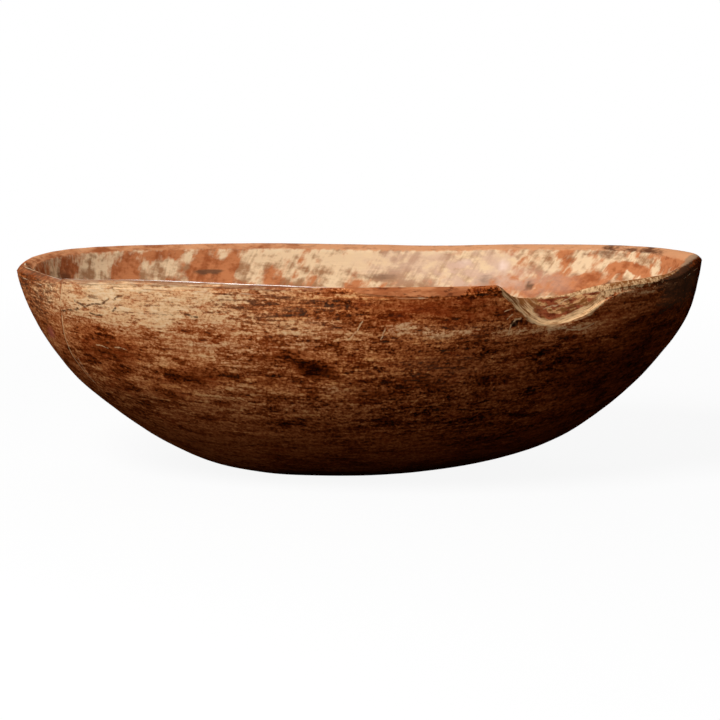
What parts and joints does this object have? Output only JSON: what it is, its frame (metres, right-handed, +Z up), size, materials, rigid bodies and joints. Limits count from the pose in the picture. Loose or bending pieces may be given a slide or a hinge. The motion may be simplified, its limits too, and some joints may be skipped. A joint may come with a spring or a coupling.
{
  "type": "dough bowl",
  "caption": "Oval hand-hewn wooden bowl with a round bottom, a flat foot, trimmed ends and a worn scoop in its rim.",
  "frame": {"origin": "centre of the bowl's outline on the table it stands on", "axes": "+X towards the upright trimmed end, along the bowl; -Y towards the side with the worn scoop; +Z up"},
  "size_m": [0.6008, 0.4008, 0.1823],
  "materials": {
    "wood": "worn, waxed, traces of red paint inside"
  },
  "bodies": {
    "root": {"bowl": "wood"}
  },
  "joints": []
}
